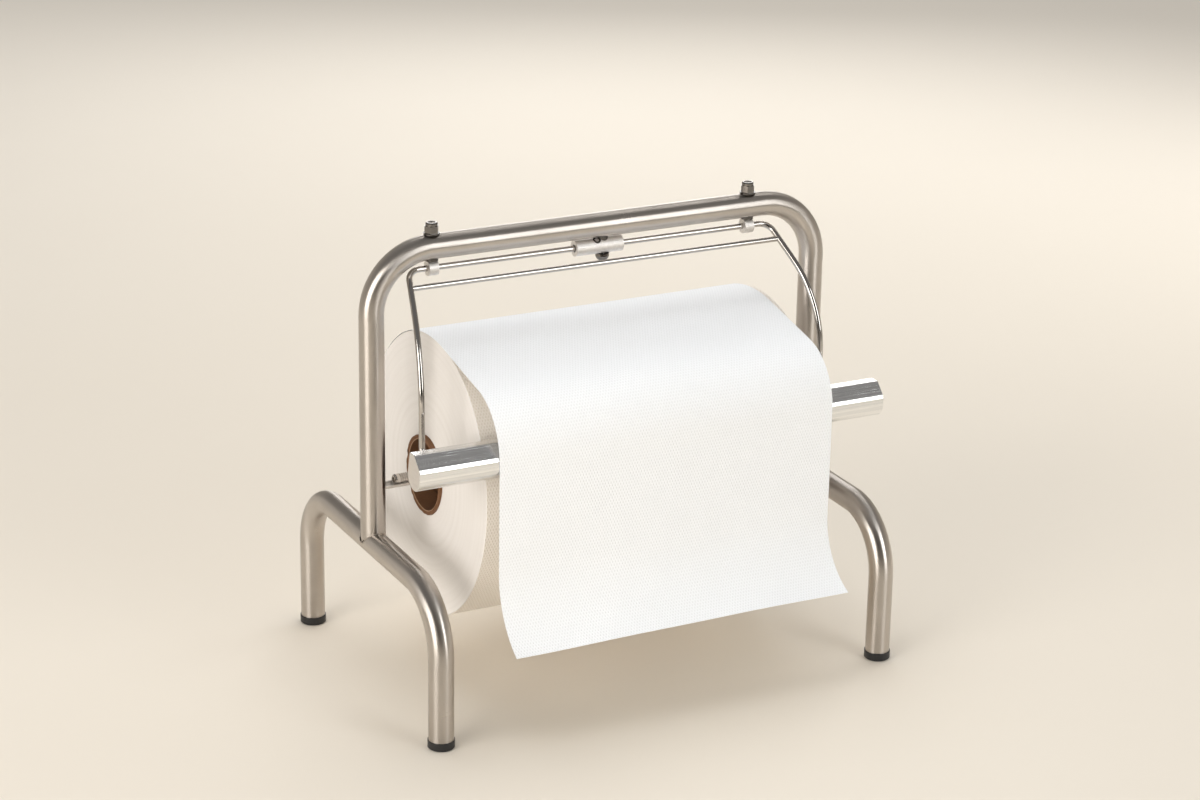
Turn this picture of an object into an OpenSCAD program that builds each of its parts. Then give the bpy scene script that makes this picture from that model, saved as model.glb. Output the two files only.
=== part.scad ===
// Table stand that dispenses food paper from a roll.
// A bent tube frame on two arched legs carries the roll on an axle, and a wire
// yoke hinged under the top tube lays a tear bar against the front of the roll.
// X runs along the roll, -Y is the front, and the feet stand on Z = 0.

/* [Stand] */
// Outer diameter of the frame and leg tubes
tube_d = 25; // [20:0.5:32]
// Wall of the frame and leg tubes
tube_wall = 1.5; // [1:0.1:3]
// Distance from the length of the roll to the centre of an upright, each side
upright_room = 57; // [50:0.5:90]
// Height of the top tube's centre above the table
top_height = 448; // [435:1:600]
// Bend radius of the top corners, at the tube's centre
top_bend_r = 62; // [35:1:66]
// Distance between the front and rear feet centres of a leg
leg_depth = 326; // [300:1:420]
// Height of a leg's level run above the table, at its centre
leg_height = 152; // [110:1:165]
// Bend radius of the legs, at the tube's centre
leg_bend_r = 62; // [40:1:80]
// Diameter of a foot plug's flange
plug_d = 26.5; // [26:0.1:40]
// Height of a foot plug's flange
plug_h = 8.5; // [4:0.5:15]
// Length of a foot plug inside its tube
plug_shank = 16; // [8:1:30]

/* [Yoke hinge] */
// Offset of the yoke and its eye bolts from the middle of the stand
yoke_x = -7; // [-9:1:9]
// Distance of each eye bolt from where the top tube starts to bend
eye_inset = 8.5; // [5:0.5:60]
// Drop of the hinge axis below the top tube's centre
hinge_drop = 21.5; // [21:0.5:26]
// Outer diameter of the ring of an eye bolt
eye_d = 15.2; // [12:0.1:16.4]
// Width of the ring of an eye bolt along the rod
eye_w = 10; // [9:0.5:14]
// Diameter of an eye bolt's shank
eye_shank_d = 8; // [5:0.5:9]
// Width of a lock nut across its flats
nut_flats = 13; // [12:0.5:18]
// Height of a lock nut with its round collar
nut_h = 10.5; // [9:0.5:16]
// Diameter of the washer under a lock nut
washer_d = 16; // [14:0.5:22]
// Thickness of the washer under a lock nut
washer_t = 1.6; // [1:0.1:3]
// Outer diameter of the centre sleeve that joins the two wires
sleeve_d = 16; // [14:0.5:17]
// Length of the centre sleeve
sleeve_len = 51.5; // [40:0.5:90]
// Offset of the centre sleeve from the middle of the stand
sleeve_x = -2; // [-4:0.5:4]
// Bore of the centre sleeve
sleeve_bore = 8; // [7:0.1:9]
// Diameter of the bolt that holds the centre sleeve
sleeve_bolt_d = 6; // [4:0.5:6]
// Offset of that bolt from the middle of the stand
sleeve_bolt_x = 3.5; // [-5:0.5:5]
// Diameter of that bolt's domed head
sleeve_head_d = 14; // [10:0.5:16]
// Height of that bolt's domed head
sleeve_head_h = 8.5; // [3:0.5:8.5]

/* [Yoke] */
// Diameter of the yoke wires
wire_d = 6; // [5:0.1:6.2]
// Distance of a hanging arm inside the upright on its side
arm_inset = 25; // [23:0.5:34]
// How far an arm spreads outwards from where its wire turns down
arm_splay = 20.5; // [16:0.5:24]
// How far in front of the hinge the arms hang
arm_forward = 78.5; // [60:0.5:88]
// Angle of an arm's upper run from the vertical
arm_angle = 52; // [46:1:56]
// Bend radius where a wire turns down
turn_r = 14; // [10:1:18]
// Bend radius of an arm's long curve
arm_curve_r = 110; // [60:1:125]
// Bend radius where an arm turns forward into the bar
foot_bend_r = 9; // [7:0.5:15]
// Diameter of the brace between the arms
brace_d = 5.5; // [4:0.1:6]
// Distance of the brace from the wires' turn, along the arms
brace_reach = 21; // [18:1:40]

/* [Tear bar] */
// Length of the tear bar
bar_len = 507; // [480:1:560]
// Height of the tear bar
bar_h = 35.5; // [33:0.5:40]
// Radius of the bar's round back and foot
bar_round_r = 14; // [12:0.5:15]
// Width of the bar's level top face
bar_top_w = 11; // [8:0.5:14]
// Distance from the bar's rear top edge to its front face
bar_front = 23.5; // [21:0.5:26]
// Radius of the bar's nose
bar_nose_r = 3; // [1:0.25:4]
// Height of the bar's top face above the roll's axis
bar_rise = 83; // [75:1:95]
// Depth to which an arm enters the bar
arm_seat = 11; // [8:0.5:14]
// Diameter of the grub screws that hold the arms in the bar
grub_d = 4; // [3:0.5:5]

/* [Roll] */
// Diameter of the paper roll
roll_d = 287; // [200:1:292]
// Length of the paper roll
roll_len = 376; // [300:1:380]
// Offset of the roll from the middle of the stand
roll_x = 4; // [-4:1:6]
// Distance of the roll's axis behind the uprights
roll_back = 10; // [6:0.5:14]
// Height of the roll's axis above the table
roll_height = 209; // [195:1:230]
// Outer diameter of the cardboard core
core_d = 81; // [60:0.5:110]
// Wall of the cardboard core
core_wall = 4.5; // [2:0.5:8]
// Distance that the core stands out of the roll's ends
core_proud = 3; // [0:0.5:6]
// Diameter of the roll's axle
axle_d = 10; // [8:0.5:12]
// Gap between an axle cap's end and the upright beside it
axle_gap = 13.5; // [10:0.5:20]
// Diameter of the caps on the axle's ends
axle_cap_d = 11.2; // [10.8:0.1:14]
// Length of the caps on the axle's ends
axle_cap_len = 6; // [4:0.5:9]
// Length of a hub inside the core
hub_len = 30; // [16:1:60]
// Depth of a hub behind the roll's end
hub_depth = 48; // [20:1:80]
// Diameter of the collars that keep the hubs in place
collar_d = 22; // [18:0.5:40]
// Width of the collars that keep the hubs in place
collar_w = 9; // [6:0.5:14]
// Outer diameter of the half-round saddles under the axle
saddle_d = 16; // [14:0.5:20]
// Length of a saddle beyond its axle cap
saddle_land = 9; // [6:0.5:14]

/* [Paper sheet] */
// Width of the loose sheet
sheet_w = 365; // [280:1:370]
// Thickness of the loose sheet
sheet_t = 0.5; // [0.4:0.1:1]
// Slope of the sheet where it leaves the roll, in degrees
sheet_slope = 11; // [5:1:25]
// Radius of the sheet's curve over the bar
sheet_curve_r = 60; // [40:1:70]
// Straight drop of the sheet below the bar's round
tail_drop = 108; // [60:1:120]
// Radius of the sheet's forward flare
flare_r = 82; // [50:1:90]
// Angle of the sheet's forward flare
flare_angle = 60; // [20:1:70]

/* [Fits] */
// Radial clearance of turning fits
run_fit = 0.05; // [0.02:0.01:0.1]
// Gap between pieces that lie against each other
lie_gap = 0.3; // [0.2:0.05:0.5]
// Gap left by the welds at a coped joint
weld_gap = 0.1; // [0.05:0.01:0.2]

/* [Hidden] */
$fn = 64;

// Stand
upright_span = roll_len + 2 * upright_room;
half_span = upright_span / 2;
half_depth = leg_depth / 2;
tube_r = tube_d / 2;
tube_bore = tube_d - 2 * tube_wall;
// Swelling of a tube or wire where a run meets a bend, and its length
seam_bead = 0.05;
seam_len = 1;
// Thin tips of the coped uprights are cut off this far above the leg's centre
cope_tip = 2.5;

// Hinge line of the yoke
hinge_z = top_height - hinge_drop;
eye_reach = half_span - top_bend_r - eye_inset;
eye_bore = wire_d + 2 * run_fit;
bolt_hole_gap = 0.2;
nut_corner_r = nut_flats / sqrt(3);
nut_hex_h = 0.68 * nut_h;
// The round collar on top of a lock nut is this much narrower than its flats
nut_collar_step = 1;
nut_base_z = top_height + tube_r + washer_t;
// An eye bolt ends this far above its nut's seat, inside the collar
shank_rise = nut_h - 1;
seat_d = eye_shank_d + 5;
spacer_d = sleeve_bolt_d + 5;
// Each wire stops this far from the sleeve's bolt
wire_stop = sleeve_bolt_d / 2 + 3;
sleeve_bolt_end = top_height - tube_r + tube_wall + 4;

// Roll and axle
roll_r = roll_d / 2;
roll_axis = [roll_back, roll_height];
core_bore = core_d - 2 * core_wall;
axle_half = half_span - tube_r - axle_gap - axle_cap_len;
// The saddles carry the axle on an arc that stops this far below its centre
saddle_low = 0.3 * axle_d;
cap_recess_d = 0.4 * axle_cap_d;

// Tear bar, placed so that its round back lies against the roll
round_c = [bar_front - bar_round_r, bar_h - bar_round_r];
nose_c = [bar_front - bar_nose_r, bar_front - bar_nose_r - bar_top_w + bar_nose_r * sqrt(2)];
round_z = roll_height + bar_rise - round_c[1];
bar_top_z = roll_height + bar_rise;
round_reach = roll_r + bar_round_r + lie_gap;
round_y = roll_back - sqrt(round_reach * round_reach - pow(round_z - roll_height, 2));
bar_rear_y = round_y + round_c[0];
bar_front_y = bar_rear_y - bar_front;

// Corner points of a wire, from the middle of the yoke outwards
arm_reach = half_span - arm_inset;
turn_reach = arm_reach - arm_splay;
arm_run = norm([arm_splay, arm_forward]);
arm_knee_z = hinge_z - arm_run / tan(arm_angle);
arm_foot_z = round_z - 3;
arm_seat_y = round_y + sqrt(bar_round_r * bar_round_r - pow(arm_foot_z - round_z, 2));
arm_end_y = arm_seat_y - arm_seat;
grub_y = arm_seat_y - 0.6 * arm_seat;
// The side is -1 for the left wire and 1 for the right one
function wire_points(side) = [
    [sleeve_bolt_x + side * wire_stop, 0, hinge_z],
    [yoke_x + side * turn_reach, 0, hinge_z],
    [yoke_x + side * arm_reach, -arm_forward, arm_knee_z],
    [yoke_x + side * arm_reach, -arm_forward, arm_foot_z],
    [yoke_x + side * arm_reach, arm_end_y, arm_foot_z]
];
wire_bends = [turn_r, arm_curve_r, foot_bend_r];

// Loose sheet: a tangent from the roll, a curve over the bar, a drop and a flare
sheet_mid_r = roll_r + lie_gap + sheet_t / 2;
tail_y = bar_front_y - lie_gap - sheet_t / 2;
sheet_normal = [-sin(sheet_slope), cos(sheet_slope)];
curve_y = tail_y + sheet_curve_r;
curve_z = (sheet_normal * roll_axis + sheet_mid_r - sheet_curve_r - sheet_normal[0] * curve_y)
    / sheet_normal[1];
web_start = roll_axis + sheet_mid_r * sheet_normal;
web_end = [curve_y, curve_z] + sheet_curve_r * sheet_normal;
flare_z = round_z - tail_drop;
arc_steps = 16;
tail_tip_y = tail_y - flare_r * (1 - cos(flare_angle)) - sheet_t / 2 * cos(flare_angle);

// The origin is moved to the middle of the part's box, on the table
foot_x = half_span + plug_d / 2;
foot_y = half_depth + plug_d / 2;
box_x = [min(-foot_x, yoke_x - bar_len / 2), max(foot_x, yoke_x + bar_len / 2)];
box_y = [min(-foot_y, tail_tip_y), max(foot_y, roll_back + roll_r)];
box_middle = [(box_x[0] + box_x[1]) / 2, (box_y[0] + box_y[1]) / 2, 0];

// Colours
steel_colour = "#c8bfb2";
bright_colour = "#dcdcd8";
dark_steel_colour = "#6e6a64";
sleeve_colour = "#e0dbd2";
aluminium_colour = "#c9c6bf";
plug_colour = "#1c1b1a";
paper_colour = "#f5f3ee";
card_colour = "#8a5a32";
hub_colour = "#3a3430";

function unit(v) = v / norm(v);

// Moves a shape from its own axes to the axes ax, ay and az at a point
module at_axes(point, ax, ay, az) {
    multmatrix([
        [ax[0], ay[0], az[0], point[0]],
        [ax[1], ay[1], az[1], point[1]],
        [ax[2], ay[2], az[2], point[2]],
        [0, 0, 0, 1]
    ]) children();
}

// Straight round bar between two points
module bar_between(a, b, d) {
    az = unit(b - a);
    ax = unit(cross(abs(az[0]) < 0.9 ? [1, 0, 0] : [0, 1, 0], az));
    at_axes(a, ax, cross(az, ax), az) cylinder(d = d, h = norm(b - a));
}

// Distance from a corner to where its bend starts
function bend_take(a, p, b, r) = r * tan(acos(unit(p - a) * unit(b - p)) / 2);

// Bend of radius r at corner p, between the runs from a and to b
module bend_at(a, p, b, r, d) {
    way_in = unit(p - a);
    way_out = unit(b - p);
    turn = acos(way_in * way_out);
    centre = p + unit(way_out - way_in) * r / cos(turn / 2);
    start = p - way_in * bend_take(a, p, b, r);
    ax = unit(start - centre);
    at_axes(centre, ax, way_in, cross(ax, way_in))
        rotate_extrude(angle = turn) translate([r, 0]) circle(d = d);
}

// Round bar that follows corner points, with a bend radius for each inner corner.
// The bar swells a little at each seam of run and bend.
module bent_bar(points, bends, d) {
    last = len(points) - 1;
    for (i = [1:last]) {
        a = points[i - 1];
        b = points[i];
        way = unit(b - a);
        from = i == 1 ? a : a + way * bend_take(points[i - 2], a, b, bends[i - 2]);
        to = i == last ? b : b - way * bend_take(a, b, points[i + 1], bends[i - 1]);
        bar_between(from, to, d);
        half = way * seam_len / 2;
        if (i > 1) bar_between(from - half, from + half, d + 2 * seam_bead);
        if (i < last) bar_between(to - half, to + half, d + 2 * seam_bead);
    }
    for (i = [1:last - 1])
        bend_at(points[i - 1], points[i], points[i + 1], bends[i - 1], d);
}

// Round bar along X with its middle at a point
module bar_along_x(point, len, d) {
    translate(point - [len / 2, 0, 0]) rotate([0, 90, 0]) cylinder(d = d, h = len);
}

// Upright hole through the top tube's height range z0 to z1
module upright_hole(x, z0, z1, d) {
    translate([x, 0, z0]) cylinder(d = d, h = z1 - z0);
}

function eye_x(side) = yoke_x + side * eye_reach;

// Inverted U of the frame as a solid bar, from a height at its lower ends
module frame_bar(low_z, d) {
    points = [
        [-half_span, 0, low_z], [-half_span, 0, top_height],
        [half_span, 0, top_height], [half_span, 0, low_z]
    ];
    bent_bar(points, [top_bend_r, top_bend_r], d);
}

module main_frame() {
    low_z = leg_height + cope_tip;
    color(steel_colour) difference() {
        frame_bar(low_z, tube_d);
        frame_bar(low_z - tube_d, tube_bore);
        for (side = [-1, 1]) {
            translate([side * half_span, half_depth, leg_height]) rotate([90, 0, 0])
                cylinder(d = tube_d + 2 * weld_gap, h = leg_depth);
            upright_hole(eye_x(side), top_height - tube_d, top_height + tube_d,
                         eye_shank_d + bolt_hole_gap);
        }
        upright_hole(sleeve_bolt_x, top_height - tube_d, top_height, sleeve_bolt_d + bolt_hole_gap);
    }
}

module leg(side) {
    x = side * half_span;
    points = [
        [x, -half_depth, plug_h], [x, -half_depth, leg_height],
        [x, half_depth, leg_height], [x, half_depth, plug_h]
    ];
    inner_points = [points[0] - [0, 0, plug_h], points[1], points[2], points[3] - [0, 0, plug_h]];
    bends = [leg_bend_r, leg_bend_r];
    color(steel_colour) difference() {
        bent_bar(points, bends, tube_d);
        bent_bar(inner_points, bends, tube_bore);
    }
}

module left_leg() { leg(-1); }
module right_leg() { leg(1); }

// Plastic plug: a flange that stands on the table and a ribless shank in the tube
module plug(side, front) {
    edge = 1;
    color(plug_colour) translate([side * half_span, front * half_depth, 0]) rotate_extrude() polygon([
        [0, 0], [plug_d / 2 - edge, 0], [plug_d / 2, edge], [plug_d / 2, plug_h],
        [tube_bore / 2 - run_fit, plug_h], [tube_bore / 2 - run_fit, plug_h + plug_shank - edge],
        [tube_bore / 2 - run_fit - edge, plug_h + plug_shank], [0, plug_h + plug_shank]
    ]);
}

module front_left_plug() { plug(-1, -1); }
module rear_left_plug() { plug(-1, 1); }
module front_right_plug() { plug(1, -1); }
module rear_right_plug() { plug(1, 1); }

module eye_bolt(side) {
    x = eye_x(side);
    color(bright_colour) difference() {
        union() {
            bar_along_x([x, 0, hinge_z], eye_w, eye_d);
            translate([x, 0, hinge_z]) cylinder(d = eye_shank_d, h = nut_base_z + shank_rise - hinge_z);
        }
        bar_along_x([x, 0, hinge_z], 2 * eye_w, eye_bore);
    }
}

module left_eye_bolt() { eye_bolt(-1); }
module right_eye_bolt() { eye_bolt(1); }

// Washer with a hollow top that fits under the round top tube
module seat_washer(side) {
    x = eye_x(side);
    base_z = hinge_z + eye_d / 2;
    color(dark_steel_colour) difference() {
        translate([x, 0, base_z]) cylinder(d = seat_d, h = top_height - base_z);
        frame_bar(leg_height, tube_d + 2 * weld_gap);
        translate([x, 0, base_z - 1]) cylinder(d = eye_shank_d + bolt_hole_gap, h = tube_d);
    }
}

module left_seat_washer() { seat_washer(-1); }
module right_seat_washer() { seat_washer(1); }

module top_washer(side) {
    color(dark_steel_colour) translate([eye_x(side), 0, top_height + tube_r]) difference() {
        cylinder(d = washer_d, h = washer_t);
        translate([0, 0, -1]) cylinder(d = eye_shank_d + bolt_hole_gap, h = washer_t + 2);
    }
}

module left_top_washer() { top_washer(-1); }
module right_top_washer() { top_washer(1); }

// Hexagon lock nut with a round collar on top
module lock_nut(side) {
    collar_r = (nut_flats - nut_collar_step) / 2;
    color(dark_steel_colour) translate([eye_x(side), 0, nut_base_z]) difference() {
        union() {
            cylinder(r = nut_corner_r, h = nut_hex_h, $fn = 6);
            cylinder(r = collar_r, h = nut_h - nut_collar_step);
            translate([0, 0, nut_h - nut_collar_step])
                cylinder(r1 = collar_r, r2 = collar_r - nut_collar_step, h = nut_collar_step);
        }
        translate([0, 0, -1]) cylinder(d = eye_shank_d + 2 * run_fit, h = nut_h + 2);
    }
}
module left_lock_nut() { lock_nut(-1); }
module right_lock_nut() { lock_nut(1); }

module centre_sleeve() {
    color(sleeve_colour) difference() {
        bar_along_x([sleeve_x, 0, hinge_z], sleeve_len, sleeve_d);
        bar_along_x([sleeve_x, 0, hinge_z], 2 * sleeve_len, sleeve_bore);
        upright_hole(sleeve_bolt_x, hinge_z - sleeve_d, hinge_z + sleeve_d, sleeve_bolt_d + bolt_hole_gap);
    }
}

// Spacer hollowed on both sides, between the sleeve and the top tube
module sleeve_spacer() {
    color(dark_steel_colour) difference() {
        translate([sleeve_bolt_x, 0, hinge_z]) cylinder(d = spacer_d, h = hinge_drop);
        bar_along_x([sleeve_bolt_x, 0, hinge_z], 2 * spacer_d, sleeve_d + 2 * weld_gap);
        bar_along_x([sleeve_bolt_x, 0, top_height], 2 * spacer_d, tube_d + 2 * weld_gap);
        upright_hole(sleeve_bolt_x, hinge_z - 1, top_height, sleeve_bolt_d + bolt_hole_gap);
    }
}

// Bolt with a domed head under the sleeve
module sleeve_bolt() {
    head_z = hinge_z - sleeve_d / 2;
    head_r = sleeve_head_d / 2;
    rim = 0.3 * sleeve_head_h;
    dome_h = sleeve_head_h - rim;
    dome_r = (head_r * head_r + dome_h * dome_h) / (2 * dome_h);
    color(bright_colour) translate([sleeve_bolt_x, 0, head_z]) {
        translate([0, 0, -rim]) cylinder(r = head_r, h = rim);
        intersection() {
            translate([0, 0, dome_r - sleeve_head_h]) sphere(r = dome_r);
            translate([0, 0, -sleeve_head_h]) cylinder(r = head_r, h = dome_h);
        }
        cylinder(d = sleeve_bolt_d, h = sleeve_bolt_end - head_z);
    }
}

function axle_point(x) = [x, roll_back, roll_height];

// Half-round saddle, coped and welded to the inside of an upright
module saddle(side) {
    inner_x = axle_half - saddle_land;
    outer_x = half_span;
    middle_x = (inner_x + outer_x) / 2;
    land_x = (inner_x + axle_half) / 2;
    relief = axle_cap_d + 2 * lie_gap;
    color(steel_colour) difference() {
        bar_along_x(axle_point(side * middle_x), outer_x - inner_x, saddle_d);
        bar_along_x(axle_point(side * land_x), 2 * saddle_land, axle_d + 2 * run_fit);
        bar_along_x(axle_point(side * (axle_half - lie_gap + half_span)), 2 * half_span, relief);
        translate([side * middle_x, roll_back, roll_height - saddle_low + saddle_d / 2])
            cube([2 * outer_x, 2 * saddle_d, saddle_d], center = true);
        translate([side * half_span, 0, 0]) cylinder(d = tube_d + 2 * weld_gap, h = top_height);
        translate([side * (half_span + tube_d), roll_back, roll_height])
            cube([2 * tube_d, 2 * saddle_d, 2 * saddle_d], center = true);
    }
}

module left_saddle() { saddle(-1); }
module right_saddle() { saddle(1); }

module roll_axle() {
    color(bright_colour) bar_along_x(axle_point(0), 2 * axle_half, axle_d);
}

// Rounded cap with a shallow recess, pressed on an end of the axle
module axle_cap(side) {
    r = axle_cap_d / 2;
    round_r = 0.45 * r;
    recess_r = cap_recess_d / 2;
    recess = 0.2 * axle_cap_len;
    color(bright_colour) translate(axle_point(side * axle_half)) rotate([0, side * 90, 0])
        difference() {
            union() {
                cylinder(r = r, h = axle_cap_len - round_r);
                cylinder(r = r - round_r, h = axle_cap_len);
                translate([0, 0, axle_cap_len - round_r])
                    rotate_extrude() translate([r - round_r, 0]) intersection() {
                        circle(r = round_r);
                        square(2 * round_r);
                    }
            }
            translate([0, 0, axle_cap_len - recess]) cylinder(r = recess_r, h = axle_cap_len);
        }
}

module left_axle_cap() { axle_cap(-1); }
module right_axle_cap() { axle_cap(1); }

// Middle of a hub, inside the core
function hub_x(side) = roll_x + side * (roll_len / 2 - hub_depth - hub_len / 2);

module hub(side) {
    color(hub_colour) difference() {
        bar_along_x(axle_point(hub_x(side)), hub_len, core_bore - 2 * run_fit);
        bar_along_x(axle_point(hub_x(side)), 2 * hub_len, axle_d + 2 * run_fit);
    }
}

module left_hub() { hub(-1); }
module right_hub() { hub(1); }

module collar(side) {
    x = hub_x(side) + side * (hub_len / 2 + lie_gap + collar_w / 2);
    color(dark_steel_colour) difference() {
        bar_along_x(axle_point(x), collar_w, collar_d);
        bar_along_x(axle_point(x), 2 * collar_w, axle_d + 2 * run_fit);
    }
}

module left_collar() { collar(-1); }
module right_collar() { collar(1); }

module wire(side) {
    color(bright_colour) bent_bar(wire_points(side), wire_bends, wire_d);
}

module left_wire() { wire(-1); }
module right_wire() { wire(1); }

// Point on an arm's upper run where the brace is welded
function brace_point(side) =
    let (p = wire_points(side)) p[1] + brace_reach * unit(p[2] - p[1]);

module brace_rod() {
    color(bright_colour) difference() {
        bar_between(brace_point(-1), brace_point(1), brace_d);
        for (side = [-1, 1]) {
            p = wire_points(side);
            bar_between(p[1], p[2], wire_d + 2 * weld_gap);
            // Clears what would stand out past the arm
            translate([yoke_x + side * (arm_reach + wire_d), -arm_forward / 2, hinge_z])
                cube([2 * (arm_reach + wire_d - abs(brace_point(side)[0] - yoke_x)), arm_forward, arm_run],
                     center = true);
        }
    }
}

// Outline of the tear bar: forward is +X and up is +Y, from its rear top edge
module bar_outline() {
    from_round = norm(round_c);
    lean = atan2(round_c[0], round_c[1]);
    spread = acos(bar_round_r / from_round);
    touch = [round_c[0] + bar_round_r * sin(180 + lean + spread),
             round_c[1] + bar_round_r * cos(180 + lean + spread)];
    slant_touch = nose_c + bar_nose_r * [sin(45), -cos(45)];
    mirror([0, 1]) {
        translate(round_c) circle(r = bar_round_r);
        translate(nose_c) circle(r = bar_nose_r);
        polygon([
            [0, 0], [bar_top_w, 0], slant_touch, nose_c, [bar_front, nose_c[1]],
            [bar_front, round_c[1]], round_c, touch
        ]);
    }
}

module tear_bar() {
    color(aluminium_colour) difference() {
        translate([yoke_x - bar_len / 2, bar_rear_y, bar_top_z])
            rotate([90, 0, -90]) mirror([0, 0, 1]) linear_extrude(bar_len) bar_outline();
        for (side = [-1, 1]) {
            x = yoke_x + side * arm_reach;
            translate([x, arm_end_y, arm_foot_z]) rotate([-90, 0, 0])
                cylinder(d = wire_d + 2 * run_fit, h = 2 * bar_front);
            translate([x, grub_y, arm_foot_z - bar_h]) cylinder(d = grub_d + 2 * run_fit, h = bar_h);
        }
    }
}

// Grub screws that press on the arms from below
module bar_grub_screws() {
    top_z = arm_foot_z - wire_d / 2 - run_fit;
    low_z = round_z - sqrt(bar_round_r * bar_round_r - pow(grub_y - round_y, 2)) + grub_d / 4;
    color(dark_steel_colour) for (side = [-1, 1])
        translate([yoke_x + side * arm_reach, grub_y, low_z]) cylinder(d = grub_d, h = top_z - low_z);
}

module paper_roll() {
    color(paper_colour) difference() {
        bar_along_x(axle_point(roll_x), roll_len, roll_d);
        bar_along_x(axle_point(roll_x), 2 * roll_len, core_d + lie_gap);
    }
}

module cardboard_core() {
    color(card_colour) difference() {
        bar_along_x(axle_point(roll_x), roll_len + 2 * core_proud, core_d);
        bar_along_x(axle_point(roll_x), 2 * roll_len, core_bore);
    }
}

// Lays a side outline, drawn with Y to the rear as +X and Z up as +Y, across the sheet's width
module across_sheet() {
    translate([roll_x - sheet_w / 2, 0, 0]) rotate([90, 0, 90]) linear_extrude(sheet_w) children();
}

// Points of an arc about a point, from angle a0 to a1
function arc_points(centre, r, a0, a1) = [
    for (i = [0:arc_steps]) let (a = a0 + (a1 - a0) * i / arc_steps) centre + r * [cos(a), sin(a)]
];

// Side lines of the sheet, moved off its middle line towards the front by a distance
function web_line(off) = concat(
    [web_start + off * sheet_normal],
    arc_points([curve_y, curve_z], sheet_curve_r + off, 90 + sheet_slope, 180),
    [[tail_y - off, round_z + lie_gap]]
);
function tail_line(off) = concat(
    [[tail_y - off, round_z]],
    arc_points([tail_y - flare_r, flare_z], flare_r - off, 0, -flare_angle)
);

function backwards(list) = [for (i = [len(list) - 1:-1:0]) list[i]];

// Sheet from the roll to the front of the bar
module paper_web() {
    color(paper_colour) across_sheet()
        polygon(concat(web_line(sheet_t / 2), backwards(web_line(-sheet_t / 2))));
}

// Sheet that hangs from the front of the bar and flares forward at its end
module paper_tail() {
    color(paper_colour) across_sheet()
        polygon(concat(tail_line(sheet_t / 2), backwards(tail_line(-sheet_t / 2))));
}

// Puts the origin at the middle of the part's box, on the table
module on_origin() { translate(-box_middle) children(); }

on_origin() main_frame();
on_origin() left_leg();
on_origin() right_leg();
on_origin() front_left_plug();
on_origin() rear_left_plug();
on_origin() front_right_plug();
on_origin() rear_right_plug();
on_origin() left_eye_bolt();
on_origin() right_eye_bolt();
on_origin() left_seat_washer();
on_origin() right_seat_washer();
on_origin() left_top_washer();
on_origin() right_top_washer();
on_origin() left_lock_nut();
on_origin() right_lock_nut();
on_origin() centre_sleeve();
on_origin() sleeve_spacer();
on_origin() sleeve_bolt();
on_origin() left_saddle();
on_origin() right_saddle();
on_origin() roll_axle();
on_origin() left_axle_cap();
on_origin() right_axle_cap();
on_origin() left_collar();
on_origin() right_collar();
on_origin() left_wire();
on_origin() right_wire();
on_origin() brace_rod();
on_origin() tear_bar();
on_origin() bar_grub_screws();
on_origin() paper_roll();
on_origin() cardboard_core();
on_origin() left_hub();
on_origin() right_hub();
on_origin() paper_web();
on_origin() paper_tail();
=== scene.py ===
"""Looks of a counter-top paper stand: loose paper, roll, tear bar, welds, finishes, light and camera."""
import logging
import math
from dataclasses import dataclass
from enum import Enum
from typing import Any, Callable, Dict, List, Optional, Sequence, Tuple

import bpy
from mathutils import Matrix, Vector


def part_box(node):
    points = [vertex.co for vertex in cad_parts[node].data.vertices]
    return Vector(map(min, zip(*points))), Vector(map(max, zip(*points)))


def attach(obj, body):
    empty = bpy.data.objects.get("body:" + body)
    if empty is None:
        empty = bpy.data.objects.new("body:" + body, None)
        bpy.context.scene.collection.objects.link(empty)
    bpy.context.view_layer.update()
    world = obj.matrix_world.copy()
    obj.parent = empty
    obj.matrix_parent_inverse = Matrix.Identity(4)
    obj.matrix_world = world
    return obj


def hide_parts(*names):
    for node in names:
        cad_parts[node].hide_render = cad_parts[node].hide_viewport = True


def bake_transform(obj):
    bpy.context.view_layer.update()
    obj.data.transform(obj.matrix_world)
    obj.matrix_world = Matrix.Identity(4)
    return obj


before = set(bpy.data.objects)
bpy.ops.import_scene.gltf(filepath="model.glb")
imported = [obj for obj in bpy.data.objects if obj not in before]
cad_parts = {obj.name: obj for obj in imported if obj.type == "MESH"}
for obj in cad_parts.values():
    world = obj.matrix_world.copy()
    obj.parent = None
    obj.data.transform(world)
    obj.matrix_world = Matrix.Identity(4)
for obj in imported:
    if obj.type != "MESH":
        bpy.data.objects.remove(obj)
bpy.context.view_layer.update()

Point = Tuple[float, float, float]
Flat = Tuple[float, float]
Tone = Tuple[float, float, float]

LOG = logging.getLogger("paper_stand")
NOISE_LOW, NOISE_HIGH = 0.3, 0.7
FULL_TURN = 2.0 * math.pi
KEPT: Dict[str, Sequence[str]] = {
    "frame_satin": ("main_frame",),
    "leg_satin": ("left_leg", "right_leg"),
    "black_plastic": ("front_left_plug", "rear_left_plug", "front_right_plug", "rear_right_plug"),
    "nut_steel": ("left_lock_nut", "right_lock_nut", "sleeve_bolt"),
    "bright_steel": ("roll_axle", "left_wire", "right_wire", "brace_rod"),
    "dark_steel": ("left_seat_washer", "right_seat_washer", "left_top_washer", "right_top_washer", "sleeve_spacer",
                   "left_collar", "right_collar", "bar_grub_screws"),
    "matte_sleeve": ("centre_sleeve", "left_eye_bolt", "right_eye_bolt", "left_saddle", "right_saddle"),
    "hub_plastic": ("left_hub", "right_hub"),
}


class Body(str, Enum):
    """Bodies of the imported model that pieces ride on."""

    STAND = "stand"
    YOKE = "yoke"
    ROLL = "roll"
    TAIL = "tail"


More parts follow.
